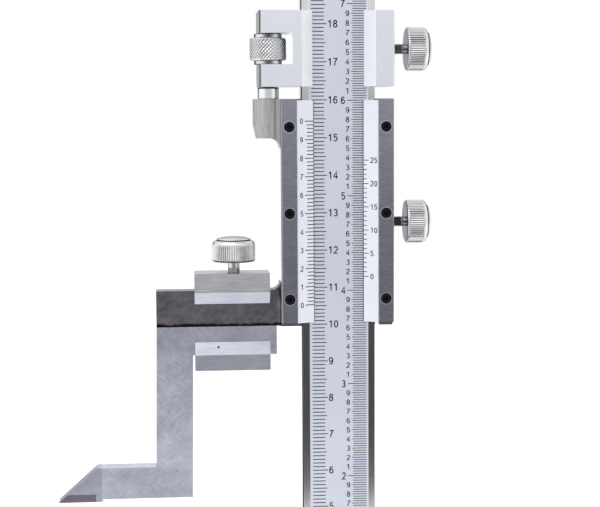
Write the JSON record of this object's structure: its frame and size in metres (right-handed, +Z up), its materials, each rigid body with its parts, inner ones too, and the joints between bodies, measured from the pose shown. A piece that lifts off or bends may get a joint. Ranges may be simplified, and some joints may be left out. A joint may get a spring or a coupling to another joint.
{
  "type": "vernier height gauge",
  "caption": "Vernier height gauge: scale beam on a heavy base, a slider with metric and inch verniers, a fine-adjustment carriage and a clamped hooked scriber.",
  "frame": {"origin": "on the surface plate under the base's sole, below the middle of the beam's front face", "axes": "+Z up along the beam, +Y from the scale face to the back of the beam, +X to the right of someone reading the scale"},
  "size_m": [0.1538, 0.08, 0.4465],
  "materials": {
    "base_iron": "ground and blacked cast iron",
    "beam_steel": "satin scale face between ground bands",
    "frame_steel": "dark ground steel",
    "bar_steel": "dark ground steel",
    "satin_chrome": "satin chrome",
    "knob_chrome": "bright chrome, knurled",
    "clamp_steel": "brushed steel",
    "scriber_steel": "ground tool steel",
    "carbide": "ground carbide",
    "black_screw": "blacked steel",
    "gib_brass": "plain brass",
    "plain_steel": "turned steel"
  },
  "bodies": {
    "stand": {"base": "base_iron", "beam": "beam_steel", "beam_keeper": "plain_steel", "keeper_screws": "black_screw", "stop_screw": "black_screw"},
    "slider": {"slider_frame": "frame_steel", "left_cover_bar": "bar_steel", "right_cover_bar": "bar_steel", "cover_bar_screws": "black_screw", "metric_vernier_plate": "satin_chrome", "inch_vernier_plate": "satin_chrome", "slider_gib": "gib_brass", "fine_adjust_screw": "plain_steel"},
    "slider_lock_pad": {"slider_lock_pad": "gib_brass"},
    "slider_lock_screw": {"slider_lock_screw": "knob_chrome"},
    "carriage": {"carriage": "satin_chrome", "carriage_gib": "gib_brass"},
    "carriage_lock_pad": {"carriage_lock_pad": "gib_brass"},
    "carriage_lock_screw": {"carriage_lock_screw": "knob_chrome"},
    "fine_adjust_nut": {"fine_adjust_nut": "knob_chrome"},
    "scriber_clamp": {"scriber_clamp": "clamp_steel"},
    "clamp_pad": {"clamp_pad": "gib_brass"},
    "clamp_screw": {"clamp_screw": "knob_chrome"},
    "scriber": {"scriber": "scriber_steel", "carbide_tip": "carbide"}
  },
  "joints": [
    {"name": "slider_travel", "type": "slide", "parent": "stand", "child": "slider", "axis": [0, 0, 1], "range_m": [-0.1054, 0.1946]},
    {"name": "slider_lock_pad_travel", "type": "slide", "parent": "slider", "child": "slider_lock_pad", "axis": [1, 0, 0], "range_m": [0, 0.0005]},
    {"name": "slider_lock_turn", "type": "hinge", "parent": "slider_lock_pad", "child": "slider_lock_screw", "pos_m": [0.02, 0.004, 0.1802], "axis": [1, 0, 0], "range_deg": [0, 361]},
    {"name": "carriage_travel", "type": "slide", "parent": "slider", "child": "carriage", "axis": [0, 0, 1], "range_m": [0, 0.004]},
    {"name": "nut_turn", "type": "hinge", "parent": "carriage", "child": "fine_adjust_nut", "pos_m": [-0.01835, 0.004, 0.22645], "axis": [0, 0, 1], "range_deg": [0, 2881]},
    {"name": "carriage_lock_pad_travel", "type": "slide", "parent": "carriage", "child": "carriage_lock_pad", "axis": [1, 0, 0], "range_m": [0, 0.0005]},
    {"name": "carriage_lock_turn", "type": "hinge", "parent": "carriage_lock_pad", "child": "carriage_lock_screw", "pos_m": [0.02, 0.004, 0.22645], "axis": [1, 0, 0], "range_deg": [0, 361]},
    {"name": "clamp_shift", "type": "slide", "parent": "slider", "child": "scriber_clamp", "axis": [1, 0, 0], "range_m": [-0.01, 0.00055]},
    {"name": "scriber_shift", "type": "slide", "parent": "scriber_clamp", "child": "scriber", "axis": [-1, 0, 0], "range_m": [-0.0005, 0.012]},
    {"name": "clamp_pad_travel", "type": "slide", "parent": "scriber_clamp", "child": "clamp_pad", "axis": [0, 0, 1], "range_m": [0, 0.0005]},
    {"name": "clamp_screw_turn", "type": "hinge", "parent": "clamp_pad", "child": "clamp_screw", "pos_m": [-0.02798, 0.004, 0.17], "axis": [0, 0, 1], "range_deg": [0, 361]}
  ],
  "couplings": [
    {"joint": "slider_lock_turn", "follows": "slider_lock_pad_travel", "rad_per_m": 12566},
    {"joint": "nut_turn", "follows": "carriage_travel", "rad_per_m": 12566},
    {"joint": "carriage_lock_turn", "follows": "carriage_lock_pad_travel", "rad_per_m": 12566},
    {"joint": "clamp_screw_turn", "follows": "clamp_pad_travel", "rad_per_m": 12566}
  ]
}
